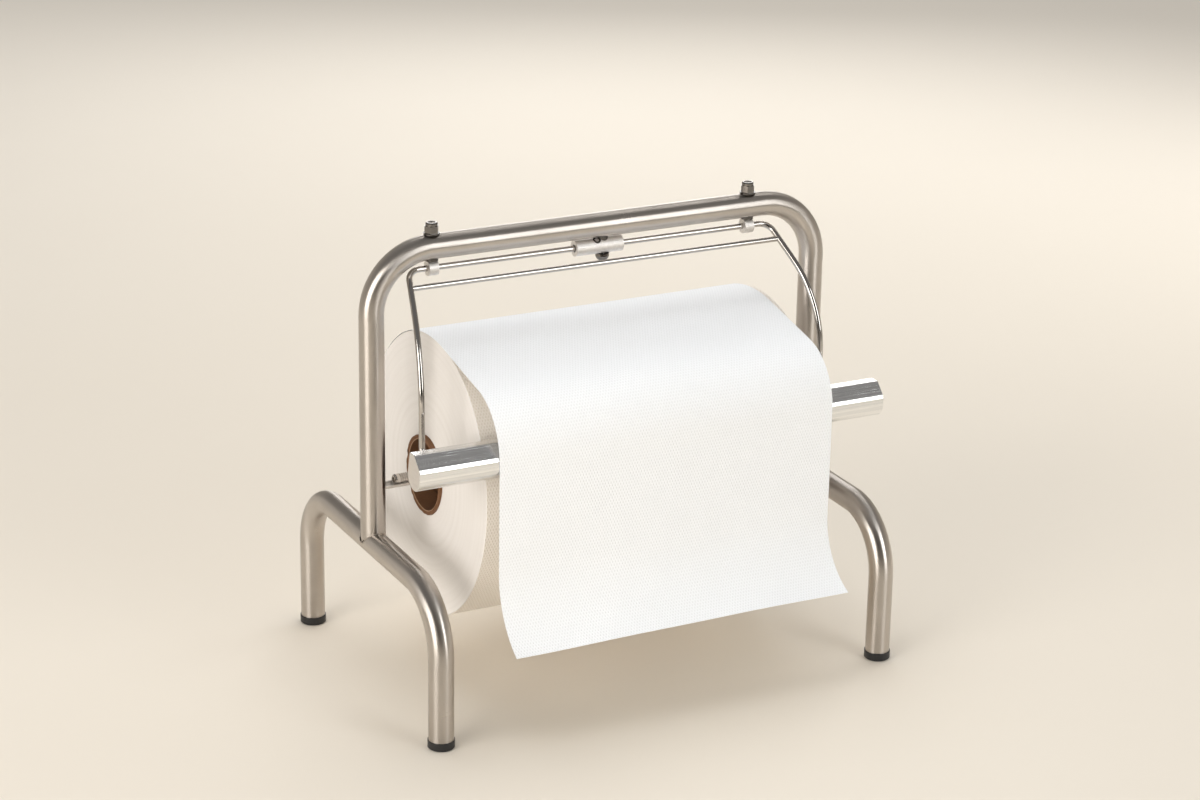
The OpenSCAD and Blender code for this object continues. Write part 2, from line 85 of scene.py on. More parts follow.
class Grain(Enum):
    """Way that the fine marks of a metal run, as stretch of its noise in X, Y and Z."""

    EVEN = (900.0, 900.0, 900.0)
    BLASTED = (1500.0, 1500.0, 1500.0)
    ALONG_X = (7.0, 1500.0, 1500.0)
    SAWN = (40.0, 120.0, 1500.0)


class Run(Enum):
    """Axis that a bent tube's upper stretch runs along, as index of its coordinate."""

    ALONG_X = 0
    ALONG_Y = 1


class Board:
    """Node tree of one material, with short calls that add and join nodes."""

    def __init__(self, name: str) -> None:
        """Start a material with an empty principled shader.

        Args:
            name: Name of the material.
        """
        self.material = bpy.data.materials.new(name)
        self.material.use_nodes = True
        self.tree = self.material.node_tree
        self.tree.nodes.clear()
        self.shader = self.tree.nodes.new("ShaderNodeBsdfPrincipled")
        output = self.tree.nodes.new("ShaderNodeOutputMaterial")
        self.tree.links.new(self.shader.outputs["BSDF"], output.inputs["Surface"])

    def feed(self, socket: bpy.types.NodeSocket, value: Any) -> None:
        """Set a socket, or link it where the value is another socket."""
        if isinstance(value, bpy.types.NodeSocket):
            self.tree.links.new(value, socket)
        else:
            socket.default_value = value

    def add(self, kind: str, inputs: Optional[Dict[Any, Any]] = None, **settings: Any) -> bpy.types.Node:
        """Add a node.

        Args:
            kind: Type name of the node.
            inputs: Values or sockets for its inputs.
            settings: Properties of the node.

        Returns:
            The new node.
        """
        node = self.tree.nodes.new(kind)
        for key, value in settings.items():
            setattr(node, key, value)
        for key, value in (inputs or {}).items():
            self.feed(node.inputs[key], value)
        return node

    def math(self, operation: str, first: Any, second: Any = 0.0, third: Any = 0.0) -> bpy.types.NodeSocket:
        """Add a Math node and return its result."""
        return self.add("ShaderNodeMath", {0: first, 1: second, 2: third}, operation=operation).outputs[0]

    def place(self, scale: Point = (1.0, 1.0, 1.0), shift: Point = (0.0, 0.0, 0.0)) -> bpy.types.NodeSocket:
        """Return object coordinates, shifted and then stretched."""
        where = self.add("ShaderNodeTexCoord").outputs["Object"]
        moved = self.add("ShaderNodeVectorMath", {0: where, 1: shift}, operation="ADD").outputs[0]
        return self.add("ShaderNodeVectorMath", {0: moved, 1: scale}, operation="MULTIPLY").outputs[0]

    def noise(self, vector: bpy.types.NodeSocket, scale: float = 1.0, detail: float = 3.0,
              roughness: float = 0.55) -> bpy.types.NodeSocket:
        """Return a noise value on the given coordinates."""
        return self.add("ShaderNodeTexNoise", {"Vector": vector, "Scale": scale, "Detail": detail,
                                               "Roughness": roughness}).outputs["Fac"]

    def lines(self, along: bpy.types.NodeSocket, detail: float) -> bpy.types.NodeSocket:
        """Return a noise value along one coordinate."""
        return self.add("ShaderNodeTexNoise", {"W": along, "Scale": 1.0, "Detail": detail},
                        noise_dimensions="1D").outputs["Fac"]

    def span(self, value: Any, low: float, high: float, out_low: float, out_high: float) -> bpy.types.NodeSocket:
        """Return a value moved from one range to another, held at its ends."""
        return self.add("ShaderNodeMapRange", {"Value": value, "From Min": low, "From Max": high,
                                               "To Min": out_low, "To Max": out_high}).outputs["Result"]

    def tones(self, value: Any, first: Tone, second: Tone) -> bpy.types.NodeSocket:
        """Return a colour between two tones by the given value."""
        return self.mix(value, (*first, 1.0), (*second, 1.0))

    def mix(self, value: Any, first: Any, second: Any) -> bpy.types.NodeSocket:
        """Return a colour between two colours or colour sockets by the given value."""
        return self.add("ShaderNodeMix", {0: value, 6: first, 7: second}, data_type="RGBA").outputs[2]

    def bump(self, height: bpy.types.NodeSocket, strength: float, distance: float) -> None:
        """Raise the surface by a height, in metres times the strength."""
        node = self.add("ShaderNodeBump", {"Strength": strength, "Distance": distance, "Height": height})
        self.feed(self.shader.inputs["Normal"], node.outputs["Normal"])

    def surface(self, **sockets: Any) -> bpy.types.Material:
        """Set the shader's sockets by name, spaces as underscores, and return the material."""
        for key, value in sockets.items():
            if isinstance(value, tuple) and len(value) == 3:
                value = (*value, 1.0)
            self.feed(self.shader.inputs[key.replace("_", " ")], value)
        return self.material


@dataclass(frozen=True)
class MetalFinish:
    """Finish of a metal piece: tone, gloss and the fine marks of its making."""

    name: str
    tone: Tone
    worn_tone: Tone
    gloss_low: float
    gloss_high: float
    grain: Grain
    mark_depth: float
    broad: float = 0.2
    spread: float = 0.2

    def make(self) -> bpy.types.Material:
        """Build the material of this finish."""
        board = Board(self.name)
        marks = board.noise(board.place(self.grain.value), 1.0, 4.0, 0.6)
        stretch = tuple(part * self.broad for part in self.grain.value)
        streaks = board.noise(board.place(stretch), 1.0, 4.0, 0.6)
        both = board.math("MULTIPLY_ADD", marks, 0.4, board.math("MULTIPLY", streaks, 0.6))
        board.bump(marks, 1.0, self.mark_depth)
        return board.surface(
            Base_Color=board.tones(board.span(both, 0.5 - self.spread, 0.5 + self.spread, 0.0, 1.0), self.tone,
                                   self.worn_tone),
            Roughness=board.span(both, NOISE_LOW, NOISE_HIGH, self.gloss_low, self.gloss_high), Metallic=1.0)


@dataclass(frozen=True)
class TubeFinish:
    """Satin of a bent tube: belt marks go round it, so highlights are drawn out along it."""

    name: str
    tone: Tone
    worn_tone: Tone
    gloss_low: float
    gloss_high: float
    run: Run
    bend_low: float
    bend_high: float
    drawn: float = 0.9
    mark_depth: float = 0.00003
    marks_per_metre: float = 2300.0

    def make(self) -> bpy.types.Material:
        """Build the material of this finish."""
        board = Board(self.name)
        where = board.add("ShaderNodeSeparateXYZ", {0: board.place()})
        lean = board.span(where.outputs[2], self.bend_low, self.bend_high, 0.0, 1.0)
        upright = board.math("SQRT", board.math("SUBTRACT", 1.0, board.math("MULTIPLY", lean, lean)))
        side = board.math("MULTIPLY", board.math("SIGN", where.outputs[self.run.value]), -1.0)
        path = board.add("ShaderNodeCombineXYZ", {self.run.value: board.math("MULTIPLY", side, lean), 2: upright})
        stray = board.math("MULTIPLY", board.noise(board.place(), 35.0, 3.0), 9.0)
        rings = [board.lines(board.math("MULTIPLY_ADD", where.outputs[axis], self.marks_per_metre, stray), 3.0)
                 for axis in (2, self.run.value)]
        marks = board.add("ShaderNodeMix", {0: lean, 2: rings[0], 3: rings[1]}).outputs[0]
        clouds = board.noise(board.place(), 16.0, 4.0, 0.6)
        both = board.math("MULTIPLY_ADD", marks, 0.4, board.math("MULTIPLY", clouds, 0.6))
        board.bump(marks, 1.0, self.mark_depth)
        return board.surface(
            Base_Color=board.tones(board.span(both, NOISE_LOW, NOISE_HIGH, 0.0, 1.0), self.tone, self.worn_tone),
            Roughness=board.span(both, NOISE_LOW, NOISE_HIGH, self.gloss_low, self.gloss_high), Metallic=1.0,
            Anisotropic=self.drawn, Tangent=path.outputs[0])


@dataclass(frozen=True)
class PlasticFinish:
    """Moulded plastic with a fine spark-eroded grain."""

    name: str
    tone: Tone
    scuff_tone: Tone
    gloss: float
    sway: float = 0.07

    def make(self) -> bpy.types.Material:
        """Build the material of this finish."""
        board = Board(self.name)
        grain = board.noise(board.place(), 1600.0, 2.0)
        scuffs = board.noise(board.place(), 60.0, 6.0, 0.7)
        board.bump(grain, 0.4, 0.00008)
        return board.surface(
            Base_Color=board.tones(board.span(scuffs, 0.55, 0.75, 0.0, 1.0), self.tone, self.scuff_tone),
            Roughness=board.span(grain, NOISE_LOW, NOISE_HIGH, self.gloss - self.sway, self.gloss + self.sway))


@dataclass(frozen=True)
class CardFinish:
    """Wound brown card of the core, with its spiral seam and plies."""

    name: str
    tone: Tone
    dark_tone: Tone
    axis: Flat
    pitch: float
    seam_width: float = 0.012

    def make(self) -> bpy.types.Material:
        """Build the material of this finish."""
        board = Board(self.name)
        where = board.add("ShaderNodeSeparateXYZ", {0: board.place(shift=(0.0, -self.axis[0], -self.axis[1]))})
        turn = board.math("DIVIDE", board.math("ARCTAN2", where.outputs[2], where.outputs[1]), FULL_TURN)
        seam = board.math("FRACT", board.math("ADD", turn, board.math("DIVIDE", where.outputs[0], self.pitch)))
        line = board.math("COMPARE", seam, 0.5, self.seam_width)
        fibres = board.noise(board.place((260.0, 700.0, 700.0)), 1.0, 5.0, 0.65)
        blotch = board.noise(board.place(), 45.0, 4.0)
        shade = board.math("MULTIPLY_ADD", line, 0.5, board.math("MULTIPLY_ADD", fibres, 0.6, board.math(
            "MULTIPLY", blotch, 0.4)))
        board.bump(board.math("SUBTRACT", fibres, line), 0.5, 0.0002)
        return board.surface(Base_Color=board.tones(board.span(shade, 0.3, 0.9, 0.0, 1.0), self.tone,
                                                    self.dark_tone), Roughness=0.85)


@dataclass(frozen=True)
class PaperFinish:
    """White food paper, embossed with rows of small dots on the piece's own UV map, in metres; the dots are also
    painted darker as painted shade of their relief, mixed with a real fibre mottle.

    A sheet whose finish has a rear finish starts in that one's tones and leaves them over the fade's length; here
    the rear tones are the warm painted shade of the roll's outside, so the web's rear matches it.
    """

    name: str
    tone: Tone
    dot_shade_and_fibre_tone: Tone
    pitch: float
    row: float
    depth: float
    rear: Optional["PaperFinish"] = None
    fade: float = 0.17

    def make(self) -> bpy.types.Material:
        """Build the material of this finish."""
        board = Board(self.name)
        lay = board.add("ShaderNodeUVMap", uv_map="lay")
        where = board.add("ShaderNodeSeparateXYZ", {0: lay.outputs[0]})
        across = board.math("SINE", board.math("MULTIPLY", where.outputs[0], FULL_TURN / self.pitch))
        along = board.math("SINE", board.math("MULTIPLY", where.outputs[1], math.pi / self.row))
        dots = board.span(board.math("MULTIPLY", across, along), 0.15, 0.75, 0.0, 1.0)
        fibres = board.noise(board.place(), 420.0, 5.0, 0.6)
        board.bump(board.math("MULTIPLY_ADD", fibres, 0.3, board.math("MULTIPLY", dots, -1.0)), 0.5, self.depth)
        # Painted shade: the emboss dots darken the tone, mixed with a real fibre mottle.
        dot_shade_and_fibres = board.math("MULTIPLY_ADD", dots, 0.6, board.math("MULTIPLY", fibres, 0.4))
        share = board.span(dot_shade_and_fibres, 0.15, 0.85, 0.0, 1.0)
        tone = board.tones(share, self.tone, self.dot_shade_and_fibre_tone)
        # Painted shade: the web's rear starts in the rear finish's warm painted-shade tones and fades to white.
        if self.rear:
            painted_shade_share = board.span(where.outputs[1], 0.0, self.fade, 0.0, 1.0)
            tone = board.mix(painted_shade_share, board.tones(share, self.rear.tone, self.rear.dot_shade_and_fibre_tone), tone)
        return board.surface(Base_Color=tone, Roughness=0.75, Sheen_Weight=0.05)


@dataclass(frozen=True)
class RollEndFinish:
    """Cut end of the wound paper, with fine rings round the axis."""

    name: str
    tone: Tone
    ring_tone: Tone
    axis: Flat
    fine_rings: float = 2600.0
    broad_rings: float = 190.0

    def make(self) -> bpy.types.Material:
        """Build the material of this finish."""
        board = Board(self.name)
        around = board.place((0.0, 1.0, 1.0), (0.0, -self.axis[0], -self.axis[1]))
        reach = board.add("ShaderNodeVectorMath", {0: around}, operation="LENGTH").outputs["Value"]
        fine = board.lines(board.math("MULTIPLY", reach, self.fine_rings), 3.0)
        broad = board.lines(board.math("MULTIPLY", reach, self.broad_rings), 4.0)
        fibre = board.noise(board.place(), 900.0, 3.0)
        rings = board.math("MULTIPLY_ADD", fine, 0.35, board.math("MULTIPLY_ADD", broad, 0.45, board.math(
            "MULTIPLY", fibre, 0.2)))
        board.bump(rings, 0.5, 0.0003)
        share = board.span(rings, NOISE_LOW, NOISE_HIGH, 0.0, 1.0)
        return board.surface(Base_Color=board.tones(share, self.tone, self.ring_tone), Roughness=0.8)


class Bench:
    """Modelling steps that several pieces share."""

    @staticmethod
    def clear() -> None:
        """Leave edit mode and deselect everything."""
        if bpy.context.object and bpy.context.object.mode != "OBJECT":
            bpy.ops.object.mode_set(mode="OBJECT")
        bpy.ops.object.select_all(action="DESELECT")

    @staticmethod
    def hold(piece: bpy.types.Object) -> None:
        """Make a piece the only selected and active object."""
        Bench.clear()
        piece.select_set(True)
        bpy.context.view_layer.objects.active = piece

    @staticmethod
    def edit(piece: bpy.types.Object, mode: str = "FACE") -> None:
        """Open a piece in edit mode with everything selected."""
        Bench.hold(piece)
        bpy.ops.object.mode_set(mode="EDIT")
        bpy.ops.mesh.select_mode(type=mode)
        bpy.ops.mesh.select_all(action="SELECT")

    @staticmethod
    def outline(name: str, points: Sequence[Point], filled: bool) -> bpy.types.Object:
        """Start a piece from a circle whose corners are moved onto an outline.

        Args:
            name: Name of the piece.
            points: Corners of the outline, in order.
            filled: Whether the outline is one face.

        Returns:
            The new piece.
        """
        Bench.clear()
        bpy.ops.mesh.primitive_circle_add(vertices=len(points), radius=0.1,
                                          fill_type="NGON" if filled else "NOTHING")
        piece = bpy.context.object
        piece.name = name
        piece.data.name = name
        for corner, point in zip(piece.data.vertices, points):
            corner.co = point
        return piece

    @staticmethod
    def lathe(name: str, profile: Sequence[Flat], axis: Flat, steps: int) -> bpy.types.Object:
        """Spin a closed profile round an axis that runs along X.

        Args:
            name: Name of the piece.
            profile: Corners of the profile, as place along X and radius.
            axis: Y and Z of the axis.
            steps: Number of steps round.

        Returns:
            The closed piece.
        """
        piece = Bench.outline(name, [(x, axis[0], axis[1] + reach) for x, reach in profile], False)
        Bench.edit(piece, "VERT")
        bpy.ops.mesh.spin(steps=steps, angle=FULL_TURN, center=(0.0, axis[0], axis[1]), axis=(1.0, 0.0, 0.0))
        bpy.ops.mesh.select_all(action="SELECT")
        bpy.ops.mesh.remove_doubles(threshold=0.00002)
        bpy.ops.mesh.normals_make_consistent(inside=False)
        bpy.ops.object.mode_set(mode="OBJECT")
        return piece

    @staticmethod
    def soften(piece: bpy.types.Object, width: float) -> None:
        """Bevel a piece's edges sharper than 30 degrees and apply the bevel."""
        Bench.hold(piece)
        bevel = piece.modifiers.new("edge", "BEVEL")
        bevel.width = width
        bevel.segments = 2
        bevel.limit_method = "ANGLE"
        bevel.angle_limit = math.radians(30.0)
        bpy.ops.object.modifier_apply(modifier=bevel.name)

    @staticmethod
    def smooth(piece: bpy.types.Object, angle: float = 35.0) -> None:
        """Shade a piece smooth, with edges sharper than an angle kept."""
        Bench.hold(piece)
        bpy.ops.object.shade_smooth_by_angle(angle=math.radians(angle))

    @staticmethod
    def settle(piece: bpy.types.Object, body: Body, slot: str, nodes: Sequence[str] = ()) -> None:
        """Give a finished piece its body, hide the nodes that it stands for and log its material slot's name."""
        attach(piece, body.value)
        Bench.record(piece, slot, nodes)

    @staticmethod
    def record(piece: bpy.types.Object, slot: str, nodes: Sequence[str] = ()) -> None:
        """Hide the nodes that a piece replaces, and log its face count and material slot's name."""
        if nodes:
            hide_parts(*nodes)
        LOG.info("%s: %d faces, slot %s", piece.name, len(piece.data.polygons), slot)


def ease(value: float) -> float:
    """Return a smooth step from 0 to 1."""
    value = min(1.0, max(0.0, value))
    return value * value * (3.0 - 2.0 * value)


def axis_of(low: Point, high: Point) -> Flat:
    """Return Y and Z of the middle line of a box, along X."""
    return (low[1] + high[1]) / 2.0, (low[2] + high[2]) / 2.0


@dataclass
class PaperRoll:
    """Wound roll of white paper, whose left end leans.

    It is smaller in radius than its solid by the slack, and sits higher by as much.
    """

    layer_step: float = 0.00035
    rings: int = 11
    edge: float = 0.0007
    edge_cut: float = 0.3
    steps: int = 224
    lean: float = 0.045
    slack: float = 0.0015
    core_gap: float = 0.00015
    end_slant: float = 0.6
    outside_area: float = 0.0002
    name: str = "wound_paper"

    def __post_init__(self) -> None:
        """Take the roll's place from the solids."""
        low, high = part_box("paper_roll")
        self.left, self.right = low[0], high[0]
        self.axis = axis_of(low, high)
        self.reach = (high[2] - low[2]) / 2.0
        core_low, core_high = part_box("cardboard_core")
        self.bore = (core_high[2] - core_low[2]) / 2.0 + self.core_gap

    def profile(self) -> List[Flat]:
        """Return the closed profile: the outside, each end with its stepped layers, and the bore."""
        left_end: List[Flat] = []
        right_end: List[Flat] = []
        for index in range(1, self.rings):
            share = index / self.rings
            reach = self.reach + (self.bore - self.reach) * share
            wave = self.layer_step * (0.5 + 0.5 * math.sin(7.3 * share + 1.9 * math.sin(11.0 * share)))
            left_end.append((self.left + wave, reach))
            right_end.append((self.right - self.layer_step * (0.5 + 0.5 * math.cos(6.1 * share)), reach))
        cut = self.edge * self.edge_cut
        outside = [(self.right - cut, self.reach - self.edge), (self.right - self.edge, self.reach),
                   (self.left + self.edge, self.reach), (self.left + cut, self.reach - self.edge)]
        return outside + left_end + [(self.left, self.bore), (self.right, self.bore)] + right_end[::-1]

    def lay_pattern(self, piece: bpy.types.Object) -> None:
        """Write the UV map in metres: along the roll, and round it."""
        mesh = piece.data
        layer = mesh.uv_layers.new(name="lay")
        for face in mesh.polygons:
            middle = math.atan2(face.center[2] - self.axis[1], face.center[1] - self.axis[0])
            for loop in face.loop_indices:
                spot = mesh.vertices[mesh.loops[loop].vertex_index].co
                turn = math.atan2(spot[2] - self.axis[1], spot[1] - self.axis[0])
                turn += FULL_TURN * round((middle - turn) / FULL_TURN)
                layer.data[loop].uv = (spot[0], turn * self.reach)

    def build(self, paper: bpy.types.Material, ends: bpy.types.Material) -> None:
        """Model the roll and dress it.

        Args:
            paper: Material of the outside.
            ends: Material of the cut ends and the bore.
        """
        piece = Bench.lathe(self.name, self.profile(), self.axis, self.steps)
        for corner in piece.data.vertices:
            share = (self.right - corner.co.x) / (self.right - self.left)
            out = math.hypot(corner.co.y - self.axis[0], corner.co.z - self.axis[1])
            loose = self.slack * (out - self.bore) / (self.reach - self.bore)
            shrink = 1.0 - loose / out
            corner.co.x += self.lean * share * (corner.co.z - self.axis[1])
            corner.co.y = self.axis[0] + (corner.co.y - self.axis[0]) * shrink
            corner.co.z = self.axis[1] + (corner.co.z - self.axis[1]) * shrink + loose
        piece.data.materials.append(paper)
        piece.data.materials.append(ends)
        for face in piece.data.polygons:
            outside = abs(face.normal[0]) < self.end_slant and face.area > self.outside_area
            face.material_index = 0 if outside else 1
        self.lay_pattern(piece)
        Bench.smooth(piece, 28.0)
        Bench.settle(piece, Body.ROLL, "white_paper", ["paper_roll"])


@dataclass
class CardCore:
    """Wound card core that stands a little out of the roll, with torn plies at its ends."""

    wall: float = 0.0045
    lip: float = 0.0006
    tear: float = 0.00066
    ply_step: float = 0.0004
    lip_step: float = 0.0003
    steps: int = 160
    name: str = "card_core"

    def __post_init__(self) -> None:
        """Take the core's place from the solids."""
        low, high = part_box("cardboard_core")
        self.left, self.right = low[0], high[0]
        self.axis = axis_of(low, high)
        self.reach = (high[2] - low[2]) / 2.0

    def build(self, plies: bpy.types.Material, inner_edge_highlight: bpy.types.Material) -> None:
        """Model the core and dress it.

        Args:
            plies: Material of the outside and the cut ends.
            inner_edge_highlight: Material of the pale inner edge, a painted highlight.
        """
        bore = self.reach - self.wall
        rows = (self.reach, self.reach - 0.3 * self.wall, self.reach - 0.6 * self.wall)
        ends = [[(x + way * self.ply_step * row, reach) for row, reach in enumerate(rows)] +
                [(x + way * self.lip_step, bore + self.lip), (x + way * self.lip, bore)]
                for x, way in ((self.left, 1.0), (self.right, -1.0))]
        piece = Bench.lathe(self.name, ends[0] + ends[1][::-1], self.axis, self.steps)
        for corner in piece.data.vertices:
            out = math.hypot(corner.co.y - self.axis[0], corner.co.z - self.axis[1])
            if out < self.reach - 0.8 * self.wall:
                continue
            turn = math.atan2(corner.co.z - self.axis[1], corner.co.y - self.axis[0])
            wave = math.sin(7.0 * turn + 160.0 * out) + 0.6 * math.sin(23.0 * turn + 90.0 * out)
            torn = max(0.0, wave) * self.tear
            corner.co.x += torn if corner.co.x < 0.0 else -torn
        piece.data.materials.append(plies)
        piece.data.materials.append(inner_edge_highlight)
        # Painted highlight: the lip round the bore's edge, facing along the axis, gets the pale card.
        for face in piece.data.polygons:
            out = math.hypot(face.center[1] - self.axis[0], face.center[2] - self.axis[1])
            edge = bore < out < bore + self.lip and abs(face.normal[0]) > 0.2
            face.material_index = 1 if edge else 0
        Bench.smooth(piece, 30.0)
        Bench.settle(piece, Body.ROLL, "brown_card", ["cardboard_core"])


@dataclass
class LoosePaper:
    """The pulled-out paper: the web from the roll to the bar, and the tail that hangs from the bar."""

    roll: PaperRoll
    slope: float = math.radians(11.0)
    wrap: float = math.radians(100.0)
    curve: float = 0.060
    flare_z: float = 0.1625
    flare_left: Flat = (0.082, math.radians(60.0))
    flare_right: Flat = (0.071, math.radians(69.5))
    thickness: float = 0.00022
    lift: float = 0.00055
    ripple: float = 0.0007
    inset: float = 0.00025
    stiff: float = 0.02
    columns: int = 72
    web_rows: int = 150
    tail_rows: int = 90

    def __post_init__(self) -> None:
        """Take the sheet's place from the solids."""
        low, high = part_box("paper_tail")
        self.left, self.right, self.seam_z = low[0], high[0], high[2]
        self.hang_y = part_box("paper_web")[0][1] + self.inset
        self.width = self.right - self.left
        self.ride = self.roll.reach + self.lift
        self.wrapped = self.ride * (self.wrap + self.slope)
        self.bend = self.curve * (math.pi / 2.0 - self.slope)
        fall, level = math.sin(self.slope), math.cos(self.slope)
        self.start = (self.roll.axis[0] - self.ride * fall, self.roll.axis[1] + self.ride * level)
        self.arc_y = self.hang_y + self.curve
        self.run = (self.start[0] - self.arc_y + self.curve * fall) / level
        self.arc_z = self.start[1] - self.run * fall - self.curve * level

    @property
    def web_length(self) -> float:
        """Length of the web along its profile."""
        return self.wrapped + self.run + self.bend + self.arc_z - self.seam_z

    @property
    def tail_length(self) -> float:
        """Length of the tail along its profile."""
        return self.seam_z - self.flare_z + self.flare_left[0] * self.flare_left[1]

    def web_spot(self, along: float) -> Tuple[Flat, Flat, float]:
        """Place a point of the web.

        Args:
            along: Distance from the web's rear edge.

        Returns:
            Y and Z of the point, the outward direction there, and how free the paper is.
        """
        if along < self.wrapped:
            turn = along / self.ride - self.wrap
            out = (-math.sin(turn), math.cos(turn))
            return (self.roll.axis[0] + self.ride * out[0], self.roll.axis[1] + self.ride * out[1]), out, 0.0
        along -= self.wrapped
        if along < self.run:
            out = (-math.sin(self.slope), math.cos(self.slope))
            spot = (self.start[0] - along * out[1], self.start[1] + along * out[0])
            return spot, out, ease(along / self.run)
        along -= self.run
        if along < self.bend:
            turn = self.slope + along / self.curve
            out = (-math.sin(turn), math.cos(turn))
            spot = (self.arc_y + self.curve * out[0], self.arc_z + self.curve * out[1])
            return spot, out, 1.0 - ease(along / self.bend)
        return (self.hang_y, self.arc_z - (along - self.bend)), (-1.0, 0.0), 0.0

    def tail_spot(self, along: float, across: float) -> Tuple[Flat, Flat, float]:
        """Place a point of the tail, whose right corner curls further forward than its left one.

        Args:
            along: Distance below the bar.
            across: Share of the width from the left.

        Returns:
            Y and Z of the point, the outward direction there, and how free the paper is.
        """
        straight = self.seam_z - self.flare_z
        if along < straight:
            return (self.hang_y, self.seam_z - along), (-1.0, 0.0), 0.6 * ease((along - self.stiff) / straight)
        share = ease(across)
        length = self.flare_left[0] * self.flare_left[1]
        angle = self.flare_left[1] + (self.flare_right[1] - self.flare_left[1]) * share
        radius = length / angle
        turn = (along - straight) / radius
        spot = (self.hang_y - radius * (1.0 - math.cos(turn)), self.flare_z - radius * math.sin(turn))
        return spot, (-math.cos(turn), math.sin(turn)), 0.6 + 0.4 * ease((along - straight) / length)

    def sheet(self, name: str, rows: int, length: float, offset: float,
              spot: Callable[[float, float], Tuple[Flat, Flat, float]],
              paper: bpy.types.Material) -> bpy.types.Object:
        """Model one sheet from a grid.

        Args:
            name: Name of the piece.
            rows: Steps along the sheet.
            length: Length of the sheet.
            offset: Length of the paper before it, for the pattern.
            spot: Gives a point, its outward direction and its freedom from distances along and across.
            paper: Material of the sheet.

        Returns:
            The finished sheet.
        """
        Bench.clear()
        bpy.ops.mesh.primitive_grid_add(x_subdivisions=self.columns, y_subdivisions=rows, size=1.0)
        piece = bpy.context.object
        piece.name = name
        mesh = piece.data
        mesh.name = name
        lay = [(corner.co.x + 0.5, 0.5 - corner.co.y) for corner in mesh.vertices]
        for layer in list(mesh.uv_layers):
            mesh.uv_layers.remove(layer)
        layer = mesh.uv_layers.new(name="lay")
        for loop in mesh.loops:
            across, along = lay[loop.vertex_index]
            layer.data[loop.index].uv = (across * self.width, offset + along * length)
        for corner, (across, along) in zip(mesh.vertices, lay):
            (y, z), out, free = spot(along * length, across)
            x = self.left + across * self.width
            sway = math.sin(17.0 * x + 1.3) + 0.5 * math.sin(39.0 * x + 21.0 * along * length)
            wave = self.ripple * free * sway
            corner.co = (x, y + out[0] * wave, z + out[1] * wave)
        Bench.edit(piece)
        bpy.ops.mesh.normals_make_consistent(inside=False)
        bpy.ops.object.mode_set(mode="OBJECT")
        solid = piece.modifiers.new("paper", "SOLIDIFY")
        solid.thickness = self.thickness
        solid.offset = 0.0
        Bench.hold(piece)
        bpy.ops.object.modifier_apply(modifier=solid.name)
        mesh.materials.append(paper)
        Bench.smooth(piece, 50.0)
        return piece

    def build(self, paper: bpy.types.Material) -> None:
        """Model the web and the tail.

        Args:
            paper: Material of both.
        """
        web = self.sheet("pulled_paper", self.web_rows, self.web_length, 0.0,
                         lambda along, across: self.web_spot(along), paper)
        tail = self.sheet("hanging_paper", self.tail_rows, self.tail_length, self.web_length, self.tail_spot, paper)
        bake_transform(web)
        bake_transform(tail)
        Bench.record(web, "white_paper", ["paper_web"])
        Bench.record(tail, "white_paper", ["paper_tail"])


@dataclass
class TearBar:
    """Faceted tear bar: flat top, slanted face, narrow nose, upright front and round back."""

    round_radius: float = 0.014
    depth: float = 0.0235
    top: float = 0.011
    nose: float = 0.0019
    edge: float = 0.0005
    round_steps: int = 40
    name: str = "serrated_bar"

    def __post_init__(self) -> None:
        """Take the bar's box from the solids."""
        self.low, self.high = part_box("tear_bar")

    def profile(self) -> List[Flat]:
        """Return the bar's profile in Y and Z, from the rear top edge forward, down and round the back."""
        front, under, over = self.low[1], self.low[2], self.high[2]
        rear = front + self.depth
        drop = self.depth - self.top
        slant = self.nose * math.sqrt(0.5)
        corners: List[Flat] = [(rear, over), (rear - self.top, over), (front + slant, over - drop + slant),
                               (front, over - drop - self.nose)]
        centre = (front + self.round_radius, under + self.round_radius)
        way = (rear - centre[0], over - centre[1])
        last = 360.0 + math.degrees(math.atan2(way[1], way[0]) - math.acos(self.round_radius / math.hypot(*way)))
        for index in range(self.round_steps + 1):
            turn = math.radians(180.0 + (last - 180.0) * index / self.round_steps)
            corners.append((centre[0] + self.round_radius * math.cos(turn),
                            centre[1] + self.round_radius * math.sin(turn)))
        return corners

    def build(self, side: bpy.types.Material, cut: bpy.types.Material) -> None:
        """Model the bar and dress it.

        Args:
            side: Material of the drawn faces.
            cut: Material of the sawn ends.
        """
        piece = Bench.outline(self.name, [(self.low[0], y, z) for y, z in self.profile()], True)
        Bench.edit(piece)
        bpy.ops.mesh.extrude_region_move(TRANSFORM_OT_translate={"value": (self.high[0] - self.low[0], 0.0, 0.0)})
        bpy.ops.mesh.select_all(action="SELECT")
        bpy.ops.mesh.normals_make_consistent(inside=False)
        bpy.ops.object.mode_set(mode="OBJECT")
        Bench.soften(piece, self.edge)
        piece.data.materials.append(side)
        piece.data.materials.append(cut)
        for face in piece.data.polygons:
            face.material_index = 1 if abs(face.normal[0]) > 0.98 else 0
        Bench.smooth(piece, 12.0)
        Bench.settle(piece, Body.YOKE, "bar_aluminium", ["tear_bar"])


